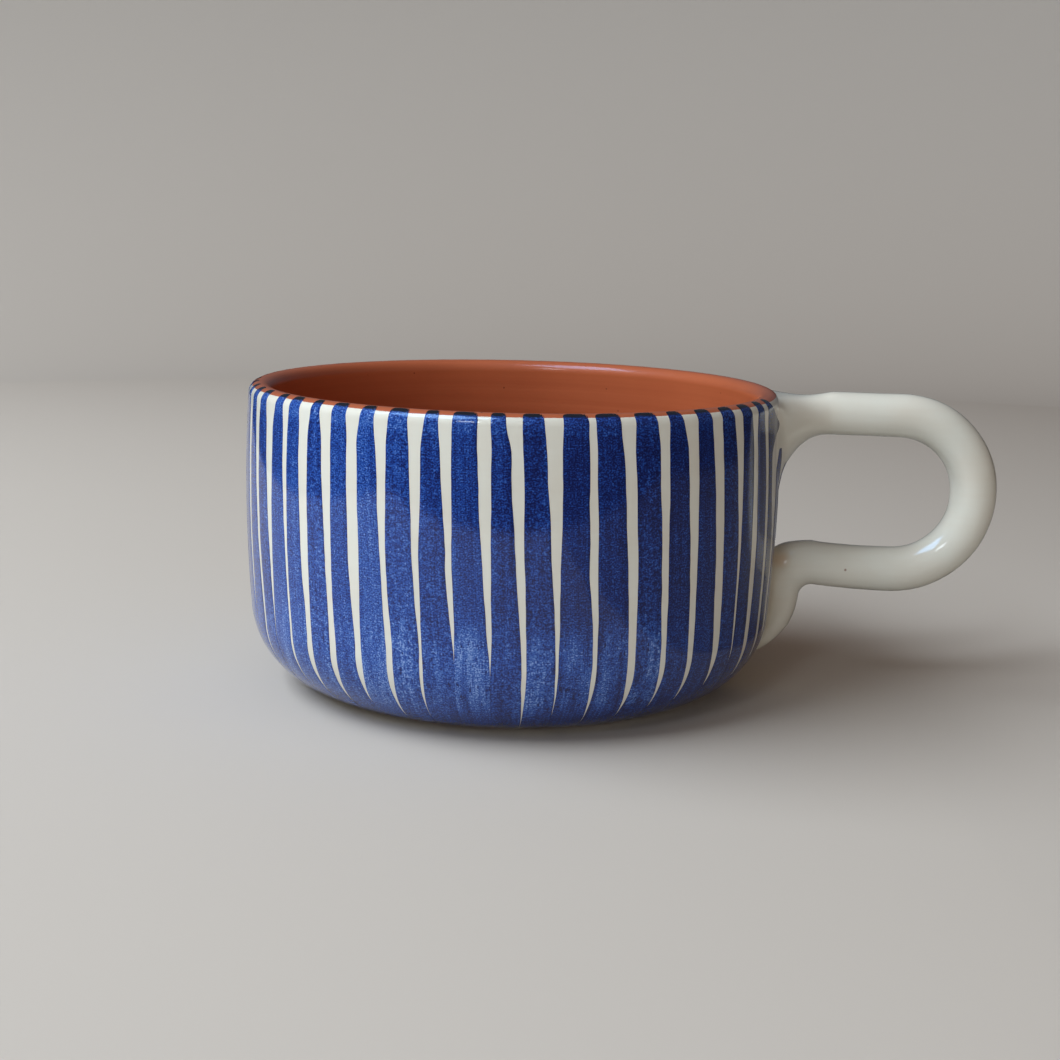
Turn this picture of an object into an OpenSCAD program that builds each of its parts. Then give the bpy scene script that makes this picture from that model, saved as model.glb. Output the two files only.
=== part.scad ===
// Hand-thrown earthenware soup mug: a red clay bowl with a cream slip coat outside,
// upright cobalt brush strokes all round it, and a pulled loop handle.
// Millimetres, +Z up. The origin is on the bowl's axis, on the table; the handle points along +X.

/* [Bowl] */
// Widest outside diameter
body_d = 130; // [100:1:180]
// Height from the table to the rim
body_h = 73.5; // [66:0.5:110]
// Height of the widest ring of the wall
belly_z = 48; // [30:1:60]
// Radius of the wall's slight barrel curve
bow_r = 380; // [250:10:900]
// Thickness of the wall, rounded off at the rim
wall = 5.5; // [3:0.5:8]
// Thickness of the floor
floor_t = 6; // [4:0.5:10]
// Radius of the rounded corner outside, above the foot
corner_r = 20; // [12:1:24]
// Radius of the rounded corner inside
inner_corner_r = 16; // [8:1:22]
// Diameter of the flat foot
foot_d = 86; // [70:1:96]
// Height of the bevelled foot below the rounded corner
foot_h = 0.5; // [0.5:0.5:4]

/* [Slip and brushwork] */
// Thickness of the cream slip coat
slip_t = 0.5; // [0.3:0.1:1]
// Where the slip stops on the rim's round, in degrees above level
slip_rim_a = 45; // [20:5:60]
// Where the slip stops on the outside corner, in degrees below level
slip_foot_a = 80; // [60:5:80]
// Thickness of the brushed cobalt
paint_t = 0.15; // [0.1:0.05:0.4]
// Where the brush strokes start on the rim's round, in degrees above level
cap_a = 72; // [62:2:80]
// Height above the table at which the brush strokes end
stroke_end_z = 2; // [2:0.5:12]
// Number of evenly spaced strokes past the ones listed below
even_strokes = 30; // [24:1:32]
// Bare slip left between a short stroke and the handle's roots
root_gap = 1.5; // [0.5:0.5:3]

/* [Handle] */
// Diameter of the pulled rod
rod_d = 11; // [8:0.5:14]
// Distance from the wall to the rod's centre at the far end of the loop
handle_reach = 49.5; // [40:0.5:60]
// Drop from the top run's centre to the lower run's centre
handle_drop = 38.5; // [32:0.5:42]
// How far the top run lies below the rim's crest
run_below_rim = 0.5; // [0:0.5:4]
// How far the lower run rises on its way back to the wall
low_rise = 1.3; // [0:0.1:3]
// Length of the flare where the top run meets the rim
root_reach = 13; // [8:1:18]
// How far the flare runs down the wall below the rod
root_drop = 11; // [6:1:14]
// How far the flare spreads to each side of the rod
root_spread = 9; // [4:0.5:11]
// Dip of the top edge beside the rim
root_dip = 0.9; // [0:0.1:2]
// How far the tail stands out from the wall under the rod
tail_stand = 8; // [6:0.5:11]
// Radius of the bend between the lower run and the tail
bend_r = 3; // [1:0.5:4]
// Length of the tail below the bend
tail_drop = 14; // [8:1:15]
// How far the tail spreads to each side of the rod
tail_spread = 1; // [0:0.5:4]

/* [Hidden] */
$fn = 96;
overrun = 1;
clay_colour = "#b3613d";
slip_colour = "#dfddd0";
cobalt_colour = "#2c4788";

// Points along each round stretch of the bowl's section
corner_steps = 14;
wall_steps = 6;
rim_steps = 6;
// Sides of the handle's rod, and rings along its flare, its bow and its bend
rod_sides = 24;
root_rings = 8;
bow_rings = 16;
bend_rings = 5;
// How steeply the flare opens towards the wall
root_curve = 2.5;
// Tail outline: share of its length, share of its stand-off, share of its spread
tail_shares = [[0.25, 0.95, 0.6], [0.5, 0.86, 1], [0.7, 0.72, 0.9], [0.86, 0.55, 0.6], [1, 0.3, -0.5]];
// Heights, as shares of body_h, at which the table of strokes gives their edges
stroke_z_shares = [0.92, 0.55, 0.28];
// Share of a stroke's width left at its rounded ends
stroke_tip_share = 0.55;
// Height over which a stroke rounds off at the rim, and at its other ends
cap_round = 0.5;
tip_round = 2;

// Strokes round the near side, in degrees from the handle, anticlockwise from above:
// the two edges at each of the three heights, from the top down.
near_stroke_angles = [
    [192.6, 196.8, 192.8, 198.2, 193.2, 199.4],
    [199.3, 203.2, 199.8, 205.0, 200.2, 206.8],
    [205.4, 209.6, 206.4, 211.3, 207.6, 212.4],
    [213.0, 217.2, 213.0, 218.4, 212.8, 219.1],
    [218.9, 223.0, 219.3, 223.9, 219.6, 225.0],
    [225.7, 229.6, 226.2, 231.1, 226.4, 231.6],
    [232.3, 236.3, 232.6, 237.1, 233.2, 238.3],
    [238.7, 242.9, 239.6, 244.5, 239.7, 245.4],
    [245.2, 250.0, 245.6, 251.1, 246.8, 252.5],
    [252.5, 256.1, 252.4, 257.7, 253.0, 259.3],
    [258.4, 263.1, 258.9, 264.6, 259.7, 266.2],
    [265.9, 269.5, 266.3, 270.8, 266.7, 272.5],
    [271.8, 276.1, 272.6, 277.8, 273.3, 279.1],
    [279.2, 284.3, 279.4, 284.9, 279.6, 286.4],
    [285.7, 291.1, 286.7, 292.7, 287.2, 293.9],
    [293.5, 298.8, 294.7, 300.1, 295.4, 301.2],
    [301.0, 305.4, 301.7, 307.0, 302.5, 308.2],
    [308.3, 312.5, 309.0, 314.1, 309.6, 315.5],
    [315.4, 319.9, 316.6, 321.9, 317.6, 322.7],
    [322.5, 326.6, 322.8, 327.7, 323.1, 328.2],
    [328.7, 333.0, 330.0, 335.0, 330.0, 335.4],
    [334.8, 339.0, 336.6, 341.2, 337.0, 342.0],
];

// Bowl section: the wall's bow, the rim's round and the two corners, tangent to each other
body_r = body_d / 2;
foot_r = foot_d / 2;
rim_r = wall / 2;
bow_c = [body_r - bow_r, belly_z];
corner_wall_a = asin((foot_h + corner_r - belly_z) / (bow_r - corner_r));
corner_c = bow_c + (bow_r - corner_r) * unit(corner_wall_a);
corner_foot_a = -acos(max(0, foot_r - corner_c.x) / corner_r);
slip_low_a = max(-slip_foot_a, corner_foot_a);
rim_wall_a = asin((body_h - rim_r - belly_z) / (bow_r - rim_r));
rim_c = bow_c + (bow_r - rim_r) * unit(rim_wall_a);
inner_r = bow_r - wall;
inner_wall_a = asin((floor_t + inner_corner_r - belly_z) / (inner_r - inner_corner_r));
inner_c = bow_c + (inner_r - inner_corner_r) * unit(inner_wall_a);

// Handle: the loop's bow is a half circle between the two runs
rod_r = rod_d / 2;
bow_loop_r = handle_drop / 2;
loop_x = body_r + handle_reach - bow_loop_r;
top_run_z = body_h - run_below_rim - rod_r;
low_run_z = top_run_z - handle_drop;
root_under_z = top_run_z - rod_r - root_drop;
root_mid_z = (top_run_z + rod_r + root_under_z) / 2;
root_half_wide = rod_r + root_spread;
low_over_z = low_run_z + low_rise + rod_r;
bend_z = low_over_z - rod_d - bend_r;
bend_pivot = [outside_r(bend_z) + tail_stand + bend_r, bend_z];
sunk = wall / 2;

// Strokes: the evenly spaced ones repeat the listed shapes, in order, round the far side
near_count = len(near_stroke_angles);
first_a = row_mid(near_stroke_angles[0]);
last_a = row_mid(near_stroke_angles[near_count - 1]);
even_pitch = (first_a + 360 - last_a) / (even_strokes + 1);
strokes = concat(near_stroke_angles, [for (i = [0:even_strokes - 1]) even_row(i)]);
stroke_reach_a = even_pitch;
stroke_zs = stroke_z_shares * body_h;
cap_z = rim_c.y + rim_r * sin(cap_a);
beside_root_a = asin(root_half_wide / body_r) + even_pitch / 2;
beside_tail_a = asin((rod_r + tail_spread) / body_r) + even_pitch / 2;

function unit(a) = [cos(a), sin(a)];
function reversed(list) = [for (i = [len(list) - 1:-1:0]) list[i]];
function two_digits(n) = n < 10 ? str("0", n) : str(n);
function stroke_name(i) = str("brush_stroke_", two_digits(i + 1));

// Points of an arc from angle a to angle b, without its first point
function arc(c, r, a, b, steps) = [for (i = [1:steps]) c + r * unit(a + (b - a) * i / steps)];

// Outside of the bowl moved out by t, from angle low_a on the corner to angle top_a on the rim
function outside(t, low_a, top_a) = concat(
    [corner_c + (corner_r + t) * unit(low_a)],
    arc(corner_c, corner_r + t, low_a, corner_wall_a, corner_steps),
    arc(bow_c, bow_r + t, corner_wall_a, rim_wall_a, wall_steps),
    arc(rim_c, rim_r + t, rim_wall_a, top_a, rim_steps)
);

// Inside of the bowl, from the rim's crest down to the floor
function inside() = concat(
    arc(rim_c, rim_r, 90, 180 + rim_wall_a, rim_steps),
    arc(bow_c, inner_r, rim_wall_a, inner_wall_a, wall_steps),
    arc(inner_c, inner_corner_r, inner_wall_a, -90, corner_steps)
);

// Radius of the bowl's outside at height z
function outside_r(z) =
    z < corner_c.y + corner_r * sin(corner_wall_a) ? corner_c.x + across(corner_r, z - corner_c.y)
    : z < rim_c.y + rim_r * sin(rim_wall_a) ? bow_c.x + across(bow_r, z - bow_c.y)
    : rim_c.x + across(rim_r, z - rim_c.y);
function across(r, h) = sqrt(max(0, r * r - h * h));

// Middle of a row of stroke edges, and the row used for the i-th evenly spaced stroke
function row_mid(row) = (row[2] + row[3]) / 2;
function even_row(i) =
    let (row = near_stroke_angles[i % near_count], shift = last_a + (i + 1) * even_pitch - row_mid(row))
    [for (a = row) a + shift];

// Where a stroke with its middle at angle a starts and ends: clear of the handle's roots where they lie over it
function starts_low(a) = abs(a - 360) < beside_root_a;
function stroke_top(a) = starts_low(a) ? root_edge_z(body_r * sin(a)) - root_gap : cap_z;
function stroke_end(a) = abs(a - 360) < beside_tail_a ? low_over_z + root_gap : stroke_end_z;
function root_edge_z(y) =
    root_mid_z - (root_mid_z - root_under_z) * across(1, min(1, abs(y) / root_half_wide));

// Edge of a stroke at height z: side 0 is the left edge, 1 the right
function edge_a(row, z, side) =
    lookup(z, [for (k = [0:2]) [stroke_zs[k], row[2 * k + side]]]);

// A stroke's outline, laid flat: distance to the side of its middle, and height
function stroke_outline(row, top_z, top_round, end_z) =
    let (
        shoulder_z = top_z - top_round,
        hip_z = end_z + tip_round,
        between = [for (z = stroke_zs) if (z < shoulder_z && z > hip_z) z],
        zs = concat([top_z, shoulder_z], between, [hip_z, end_z]),
        sides = [for (side = [0, 1]) [for (z = zs) [stroke_x(row, z, side, z == top_z || z == end_z), z]]]
    )
    concat(sides[0], reversed(sides[1]));
function stroke_x(row, z, side, tip) =
    let (mid = (edge_a(row, z, 0) + edge_a(row, z, 1)) / 2, half = edge_a(row, z, side) - mid)
    outside_r(z) * sin(mid + half * (tip ? stroke_tip_share : 1) - row_mid(row));

// One ring of the handle between two edge points in the XZ plane
function ring(a, b, half_wide) = [
    for (i = [0:rod_sides - 1])
        let (t = 360 * i / rod_sides, p = (a + b) / 2 + (a - b) / 2 * cos(t))
        [p.x, half_wide * sin(t), p.y]
];

// Rings of the flare, from inside the wall out to the plain rod
function flare(d) = pow(1 - d / root_reach, root_curve);
function root_ring(x, d) = ring(
    [x, top_run_z + rod_r - root_dip * sin(180 * d / root_reach)],
    [x, top_run_z - rod_r - root_drop * flare(d)],
    rod_r + root_spread * flare(d)
);
function root_part() = concat(
    [wrapped(root_ring(body_r - sunk, 0), 1)],
    [
        for (i = [0:root_rings])
            let (d = root_reach * i / root_rings)
            wrapped(root_ring(body_r + d, d), 1 - i / root_rings)
    ]
);

// A ring drawn back to follow the wall's curve, by the given share of that curve
function wrapped(points, share) = [
    for (p = points)
        [p.x - share * (body_r - across(body_r, p.y)), p.y, p.z]
];

// Rings of the loop's bow, from the end of the top run to the start of the lower run
function loop_part() = [
    for (i = [0:bow_rings])
        let (u = unit(90 - 180 * i / bow_rings), c = [loop_x, top_run_z - bow_loop_r])
        ring(c + (bow_loop_r + rod_r) * u, c + (bow_loop_r - rod_r) * u, rod_r)
];

// Rings that turn about the inside of the bend, then follow the tail down into the wall
function bend_part() = [
    for (i = [0:bend_rings])
        let (u = unit(90 + 90 * i / bend_rings), thick = rod_d + (tail_stand + sunk - rod_d) * i / bend_rings)
        ring(bend_pivot + bend_r * u, bend_pivot + (bend_r + thick) * u, rod_r)
];
function tail_part() = [
    for (row = tail_shares)
        let (z = bend_pivot.y - tail_drop * row[0], r = outside_r(z))
        ring([r + tail_stand * row[1], z], [r - sunk, z], rod_r + tail_spread * row[2])
];

// A closed skin over a list of rings
module skin(rings) {
    last = len(rings) - 1;
    sides = [
        for (k = [0:last - 1], i = [0:rod_sides - 1])
            let (a = k * rod_sides + i, b = k * rod_sides + (i + 1) % rod_sides)
            each [[a, a + rod_sides, b], [b, a + rod_sides, b + rod_sides]]
    ];
    ends = [
        for (i = [1:rod_sides - 2])
            each [[0, i, i + 1], [last * rod_sides, last * rod_sides + i + 1, last * rod_sides + i]]
    ];
    polyhedron([for (r = rings) each r], concat(sides, ends));
}

// The bowl's whole outline filled in, for cutting what sits against its outside
module bowl_block() {
    rotate_extrude()
        polygon(concat([[0, body_h], [0, 0], [foot_r, 0]], outside(0, corner_foot_a, 90)));
}

// Thrown bowl with a rounded rim, cut back where the slip lies on it
module clay_bowl() {
    color(clay_colour)
        rotate_extrude()
            polygon(concat(
                [[0, floor_t], [0, 0], [foot_r, 0]],
                [corner_c + corner_r * unit(corner_foot_a), corner_c + corner_r * unit(slip_low_a)],
                outside(-slip_t, slip_low_a, slip_rim_a),
                [rim_c + rim_r * unit(slip_rim_a)],
                arc(rim_c, rim_r, slip_rim_a, 90, rim_steps),
                inside()
            ));
}

// Cream slip over the outside, from the rim's shoulder to just above the foot
module cream_slip() {
    color(slip_colour)
        rotate_extrude()
            polygon(concat(
                outside(0, slip_low_a, slip_rim_a),
                reversed(outside(-slip_t, slip_low_a, slip_rim_a))
            ));
}

// Pulled loop: flared into the rim, bowed round, and pressed down the wall in a tail
module handle() {
    color(slip_colour)
        difference() {
            skin(concat(root_part(), loop_part(), bend_part(), tail_part()));
            bowl_block();
        }
}

// One upright stroke of cobalt, cut short where a root of the handle is in its way
module brush_stroke(row) {
    mid = row_mid(row);
    top_round = starts_low(mid) ? tip_round : cap_round;
    color(cobalt_colour)
        intersection() {
            rotate(mid - stroke_reach_a)
                rotate_extrude(angle = 2 * stroke_reach_a)
                    polygon(concat(
                        outside(paint_t, slip_low_a, cap_a),
                        reversed(outside(0, slip_low_a, cap_a))
                    ));
            rotate(mid)
                rotate([90, 0, 90])
                    linear_extrude(body_r + overrun)
                        polygon(stroke_outline(row, stroke_top(mid), top_round, stroke_end(mid)));
        }
}

clay_bowl();
cream_slip();
handle();
for (i = [0:len(strokes) - 1])
    brush_stroke(strokes[i]);
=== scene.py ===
"""A hand-thrown earthenware soup mug: red clay bowl, cream slip, cobalt brush strokes and a pulled handle."""

import math
import random

import bmesh
import bpy
import numpy as np
from bpy.props import FloatProperty, FloatVectorProperty, IntProperty, PointerProperty
from bpy.types import Operator, Panel, PropertyGroup
from mathutils import Matrix, Vector, noise


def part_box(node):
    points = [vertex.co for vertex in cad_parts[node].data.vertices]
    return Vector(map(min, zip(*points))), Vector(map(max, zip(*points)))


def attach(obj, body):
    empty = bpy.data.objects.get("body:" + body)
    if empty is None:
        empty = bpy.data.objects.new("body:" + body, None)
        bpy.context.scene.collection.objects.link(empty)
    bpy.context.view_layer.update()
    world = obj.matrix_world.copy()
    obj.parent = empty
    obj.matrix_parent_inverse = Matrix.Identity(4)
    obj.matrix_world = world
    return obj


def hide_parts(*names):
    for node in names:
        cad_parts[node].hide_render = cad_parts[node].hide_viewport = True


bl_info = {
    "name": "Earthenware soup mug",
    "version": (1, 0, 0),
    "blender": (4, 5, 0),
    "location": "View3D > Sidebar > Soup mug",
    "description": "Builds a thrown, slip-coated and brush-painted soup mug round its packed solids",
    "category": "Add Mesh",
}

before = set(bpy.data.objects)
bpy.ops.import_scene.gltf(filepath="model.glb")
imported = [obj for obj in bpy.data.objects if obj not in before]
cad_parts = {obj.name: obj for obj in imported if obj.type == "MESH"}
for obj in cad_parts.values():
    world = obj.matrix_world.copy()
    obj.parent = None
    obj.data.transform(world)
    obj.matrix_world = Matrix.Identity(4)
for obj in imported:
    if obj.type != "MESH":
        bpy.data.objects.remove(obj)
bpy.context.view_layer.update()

MM = 0.001
BODY = "root"
STROKE_NODES = sorted(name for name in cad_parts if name.startswith("brush_stroke_"))


def linear(code):
    """Linear RGBA of an sRGB hex colour such as #B5613C."""
    shares = [int(code[i:i + 2], 16) / 255 for i in (1, 3, 5)]
    return [c / 12.92 if c <= 0.04045 else ((c + 0.055) / 1.055) ** 2.4 for c in shares] + [1.0]


def length(name, description, millimetres):
    return FloatProperty(name=name, description=description, default=millimetres * MM, unit="LENGTH",
                         precision=5)


def colour(name, description, code):
    return FloatVectorProperty(name=name, description=description, default=linear(code), size=4,
                               subtype="COLOR", min=0, max=1)


def angle(name, description, degrees):
    return FloatProperty(name=name, description=description, default=math.radians(degrees), unit="ROTATION")


def tilt(name, description, radians):
    return FloatProperty(name=name, description=description, default=radians, unit="ROTATION")


def watts(name, description, value):
    return FloatProperty(name=name, description=description, default=value, unit="POWER")


class MugBowl(PropertyGroup):
    """Sizes and colours of the thrown bowl"""
    body_r: FloatProperty(name="Outside radius", description="Widest radius of the wall, as packed",
                          default=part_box("cream_slip")[1].y, unit="LENGTH", precision=5)
    body_h: FloatProperty(name="Height", description="From the table to the rim, as packed",
                          default=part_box("clay_bowl")[1].z, unit="LENGTH", precision=5)
    belly_z: length("Belly height", "Height of the widest ring of the wall", 48)
    bow_r: length("Bow radius", "Radius of the wall's slight barrel curve", 380)
    wall: length("Wall", "Thickness of the wall, rounded off at the rim", 5.5)
    floor_t: length("Floor", "Thickness of the floor", 6)
    corner_r: length("Outside corner", "Radius of the rounded corner above the foot", 20)
    inner_corner_r: length("Inside corner", "Radius of the rounded corner inside", 16)
    foot_r: length("Foot radius", "Radius of the flat foot", 43)
    foot_h: length("Foot height", "Height of the foot's bevel", 0.5)
    ring_pitch: length("Throwing pitch", "Rise of the finger marks inside in one turn of the wheel", 4.2)
    ring_depth: length("Throwing depth", "Depth of the finger marks inside", 0.05)
    clay: colour("Clay", "Glazed red clay", "#B4623E")
    clay_dark: colour("Dark clay", "Glazed clay where more iron came to the surface", "#9C4F30")
    biscuit: colour("Bare clay", "Unglazed clay of the foot", "#B9714E")
    biscuit_dark: colour("Dark bare clay", "Unglazed clay in the turning marks", "#A45F40")


class MugSlip(PropertyGroup):
    """Sizes and colours of the cream slip"""
    thick: length("Thickness", "Thickness of the slip coat", 0.5)
    rim_a: angle("Upper edge", "Where the slip stops on the rim's round, above level", 50)
    foot_a: angle("Lower edge", "Where the slip stops on the outside corner, below level", 80)
    waver_a: angle("Waver", "How far the upper edge wanders up and down", 4)
    cream: colour("Cream", "Slip under clear glaze", "#DCDCD1")
    cream_thin: colour("Thin cream", "Slip so thin that the clay warms it", "#D3C4B0")
    speck: colour("Speck", "Iron speck in the slip", "#7A4A33")


class MugHandle(PropertyGroup):
    """Sizes of the pulled handle"""
    rod_r: length("Rod radius", "Radius of the pulled rod", 5.5)
    reach: length("Reach", "From the wall to the rod's middle at the far end of the loop", 49.5)
    drop: length("Drop", "From the top run's middle to the lower run's middle", 38.5)
    below_rim: length("Below the rim", "How far the top run lies below the rim's crest", 0.5)
    low_rise: length("Lower rise", "How far the lower run rises on its way back to the wall", 1.3)
    root_reach: length("Root length", "Length of the flare where the top run meets the rim", 13)
    root_drop: length("Root drop", "How far the flare runs down the wall below the rod", 11)
    root_spread: length("Root spread", "How far the flare spreads to each side of the rod", 10.5)
    root_dip: length("Root dip", "Dip of the top edge beside the rim", 0.9)
    feather: length("Feather", "How far the wiped edge of the flare runs out over the wall", 3.5)
    feather_reach: length("Feather height", "How far off the wall that wiped edge starts", 2)
    tail_stand: length("Tail stand", "How far the tail stands out from the wall", 8)
    bend_r: length("Bend radius", "Radius inside the bend between the lower run and the tail", 3)
    tail_drop: length("Tail length", "Length of the tail below the bend", 14)
    tail_spread: length("Tail spread", "How far the tail spreads to each side of the rod", 1)


class MugBrushwork(PropertyGroup):
    """Sizes and colours of the brush strokes"""
    thick: length("Thickness", "Thickness of the cobalt", 0.07)
    cap_a: angle("Cap", "Where the strokes start on the rim's round, above level", 84)
    climb: length("Climb", "How far the strokes under the handle climb its flare", 7)
    wobble: length("Wobble", "How far the hand strays along a stroke's edge", 0.28)
    seed: IntProperty(name="Seed", description="Seed of the hand's small differences", default=7)
    washed: colour("Washed cobalt", "Cobalt so thin that the slip shows through", "#7C98CE")
    thin: colour("Thin cobalt", "One thin coat", "#3E66AE")
    plain: colour("Plain cobalt", "One full coat", "#1E4596")
    full: colour("Full cobalt", "A coat gone over twice", "#172B6C")
    heavy: colour("Heavy cobalt", "Cobalt pooled thick", "#10194A")
    on_clay: colour("Cobalt on clay", "Cobalt over the bare rim", "#15151D")


class MugStage(PropertyGroup):
    """Camera, floor and light"""
    camera_back: length("Camera distance", "From the mug's axis to the camera, along the table", 407.1)
    camera_up: length("Camera height", "From the table up to the camera", 115.5)
    camera_pitch: tilt("Pitch", "How far the camera looks down", 0.1908)
    camera_yaw: tilt("Yaw", "How far the camera turns to the right", 0.0111)
    camera_roll: tilt("Roll", "How far the camera leans", 0.0241)
    lens: FloatProperty(name="Lens", description="Focal length over a sensor 36 mm wide", default=56.56,
                        unit="CAMERA")
    high_power: watts("High window", "Power of the wide high window on the left", 20)
    low_power: watts("Low window", "Power of the wide low window in front, on the left", 3.5)
    fill_power: watts("Fill", "Power of the warm low fill in front, on the right", 0.7)
    lamp_power: watts("Lamp", "Power of the small lamp above and left of the camera", 1.2)
    sky_power: watts("Sky", "Power of the sky that the glaze mirrors", 12)
    window_light: colour("Window light", "Cool daylight of both windows and the small lamp", "#EAF5FF")
    sky_light: colour("Sky light", "Blue of the mirrored sky", "#9BCBFF")
    warm_light: colour("Warm light", "Light of the warm fill", "#FFE8D4")
    floor: colour("Floor", "Pale paper under and behind the mug", "#C4BDB4")
    # Painted shade: darker paper that the glaze mirrors on the right, standing for the floor in the mug's
    # shadow.
    mirrored_shade_floor: colour("Dim floor", "Paper on the right, as the glaze mirrors it", "#86827D")
    room: colour("Room", "Soft warm light from the rest of the room", "#FBDFCB")
    room_mirrored: colour("Mirrored room", "The same room as the glaze mirrors it", "#A9B6C8")
    room_strength: FloatProperty(name="Room strength", description="Strength of that light", default=0.18)


def polar(centre, radius, turn):
    return centre[0] + radius * math.cos(turn), centre[1] + radius * math.sin(turn)


def arc(centre, radius, start, end, steps):
    return [polar(centre, radius, start + (end - start) * i / steps) for i in range(steps + 1)]


def ease(low, high, value):
    """0 below low, 1 above high and smooth between, also where low is the greater of the two."""
    t = np.clip((value - low) / (high - low), 0, 1)
    return t * t * (3 - 2 * t)


def waver(value, lane):
    """Smooth noise from -1 to 1 along a line; each lane is a line of its own."""
    return noise.noise(Vector((value, lane * 7.31, 2.7)))


class BowlSection:
    """Half of the bowl's section as arcs that run into each other: corner, bowed wall, rim and inside."""

    def __init__(self, bowl):
        self.bowl = bowl
        self.bow_c = (bowl.body_r - bowl.bow_r, bowl.belly_z)
        self.rim_r = bowl.wall / 2
        self.inner_r = bowl.bow_r - bowl.wall
        self.corner_a = self.meets(bowl.bow_r - bowl.corner_r, bowl.foot_h + bowl.corner_r)
        self.corner_c = polar(self.bow_c, bowl.bow_r - bowl.corner_r, self.corner_a)
        self.rim_a = self.meets(bowl.bow_r - self.rim_r, bowl.body_h - self.rim_r)
        self.rim_c = polar(self.bow_c, bowl.bow_r - self.rim_r, self.rim_a)
        self.inner_a = self.meets(self.inner_r - bowl.inner_corner_r, bowl.floor_t + bowl.inner_corner_r)
        self.inner_c = polar(self.bow_c, self.inner_r - bowl.inner_corner_r, self.inner_a)
        self.walk()

    def meets(self, radius, height):
        return math.asin((height - self.bow_c[1]) / radius)

    def outside(self, lift, low_a, top_a, steps):
        """Points of the outside moved out by lift, from low_a on the corner up to top_a on the rim."""
        return (arc(self.corner_c, self.bowl.corner_r + lift, low_a, self.corner_a, steps)
                + arc(self.bow_c, self.bowl.bow_r + lift, self.corner_a, self.rim_a, steps)[1:]
                + arc(self.rim_c, self.rim_r + lift, self.rim_a, top_a, steps)[1:])

    def walk(self):
        """The outside from the rim's crest down to the foot, measured along the clay."""
        down = self.outside(0, -math.pi / 2, math.pi / 2, 160)[::-1]
        self.r, self.z = np.array(down).T
        steps = np.hypot(np.diff(self.r), np.diff(self.z))
        self.run = np.concatenate([[0], np.cumsum(steps)])
        self.lean = np.unwrap(np.arctan2(np.gradient(self.r), -np.gradient(self.z)))

    def at(self, run):
        """Radius, height and lean of the outside at a distance down from the rim's crest."""
        return [float(np.interp(run, self.run, values)) for values in (self.r, self.z, self.lean)]

    def run_at(self, z):
        return float(np.interp(-z, -self.z, self.run))

    def radius_at(self, z):
        return float(np.interp(-z, -self.z, self.r))

    def wall_x(self, y, z):
        """How far out the wall is at a point to the side of the handle's plane."""
        return math.sqrt(max(self.radius_at(z) ** 2 - y * y, 0))

    def slip_edge(self, slip, turn):
        """Angle on the rim's round at which the slip stops, round the bowl."""
        x, y = 3.1 * math.cos(turn), 3.1 * math.sin(turn)
        broad = noise.noise(Vector((x, y, 0.4)))
        fine = noise.noise(Vector((4 * x, 4 * y, 5.2)))
        return slip.rim_a + slip.waver_a * (0.8 * broad + 0.4 * fine)


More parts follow.
